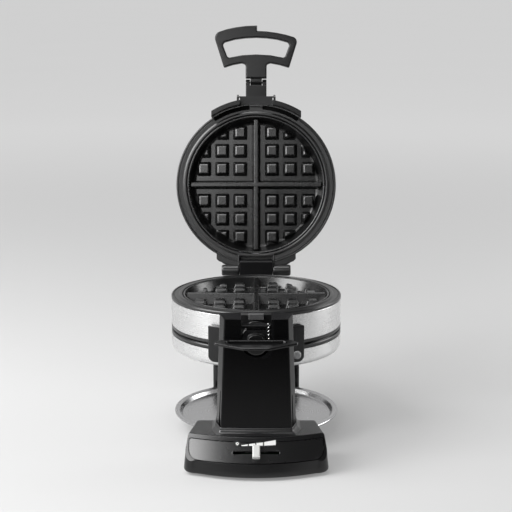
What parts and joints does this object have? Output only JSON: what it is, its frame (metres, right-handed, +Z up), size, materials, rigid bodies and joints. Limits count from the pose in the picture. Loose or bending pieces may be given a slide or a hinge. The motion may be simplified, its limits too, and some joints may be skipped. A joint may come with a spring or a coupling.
{
  "type": "belgian waffle maker",
  "caption": "Double flip waffle maker: round grids in a turning head on a fork column, hinged lids, folding loop handle, steel drip tray and browning slider.",
  "frame": {"origin": "centre of the bounding box on the surface that the feet stand on", "axes": "+Z up, +X to the user's right, -Y towards the user (the browning slider and the flip grip face -Y)"},
  "size_m": [0.205, 0.3789, 0.4799],
  "materials": {
    "housing_black": "satin moulded black plastic",
    "rim_black": "semi-gloss moulded black plastic",
    "handle_black": "satin black plastic",
    "nonstick_grid": "dark non-stick coating on cast aluminium",
    "brushed_shell": "brushed stainless steel",
    "tray_steel": "pressed stainless steel",
    "pin_steel": "plated steel",
    "foot_rubber": "matte black rubber",
    "slider_white": "satin white plastic",
    "lens_grey": "grey translucent lens",
    "board_green": "circuit board",
    "heater_rod": "oxidised steel sheath"
  },
  "bodies": {
    "stand": {"base_housing": "housing_black", "base_cover_front": "housing_black", "base_cover_rear": "housing_black", "foot_front_left": "foot_rubber", "foot_front_right": "foot_rubber", "foot_rear_left": "foot_rubber", "foot_rear_right": "foot_rubber", "slide_control": "board_green", "control_board": "board_green", "column": "housing_black", "axle_bush": "rim_black", "bearing_cap": "housing_black", "detent_spring": "pin_steel", "rear_guard": "housing_black", "cord_inlet": "foot_rubber"},
    "browning_slider": {"browning_slider": "slider_white"},
    "drip_tray": {"drip_tray": "tray_steel"},
    "head": {"middle_frame": "rim_black", "middle_band": "brushed_shell", "middle_grid_upper": "nonstick_grid", "middle_grid_lower": "nonstick_grid", "middle_heater": "heater_rod", "axle": "rim_black", "latch_keeper": "housing_black", "flip_grip": "handle_black", "hinge_block": "housing_black", "hinge_pin_upper": "pin_steel", "hinge_pin_lower": "pin_steel"},
    "upper_lid": {"upper_lid_ring": "rim_black", "upper_lid_shell": "brushed_shell", "upper_lid_grid": "nonstick_grid", "upper_heater": "heater_rod", "upper_bracket": "handle_black", "handle_pin": "pin_steel"},
    "loop_handle": {"loop_handle": "handle_black"},
    "lower_lid": {"lower_lid_ring": "rim_black", "lower_lid_shell": "brushed_shell", "lower_lid_grid": "nonstick_grid", "lower_heater": "heater_rod", "lower_bracket": "handle_black", "ready_lens": "lens_grey"}
  },
  "joints": [
    {"name": "head_flip", "type": "hinge", "parent": "stand", "child": "head", "pos_m": [0, 0.00506, 0.1475], "axis": [0, 1, 0], "range_deg": [0, 180]},
    {"name": "upper_lid_hinge", "type": "hinge", "parent": "head", "child": "upper_lid", "pos_m": [0, 0.11506, 0.171], "axis": [1, 0, 0], "range_deg": [0, 100]},
    {"name": "handle_fold", "type": "hinge", "parent": "upper_lid", "child": "loop_handle", "pos_m": [0, 0.17892, 0.40649], "axis": [-1, 0, 0], "range_deg": [0, 180]},
    {"name": "lower_lid_hinge", "type": "hinge", "parent": "head", "child": "lower_lid", "pos_m": [0, 0.11506, 0.124], "axis": [1, 0, 0], "range_deg": [0, 18]},
    {"name": "tray_slide", "type": "slide", "parent": "stand", "child": "drip_tray", "axis": [1, 0, 0], "range_m": [0, 0.21]},
    {"name": "browning_slide", "type": "slide", "parent": "stand", "child": "browning_slider", "axis": [1, 0, 0], "range_m": [-0.021, 0.021]}
  ]
}
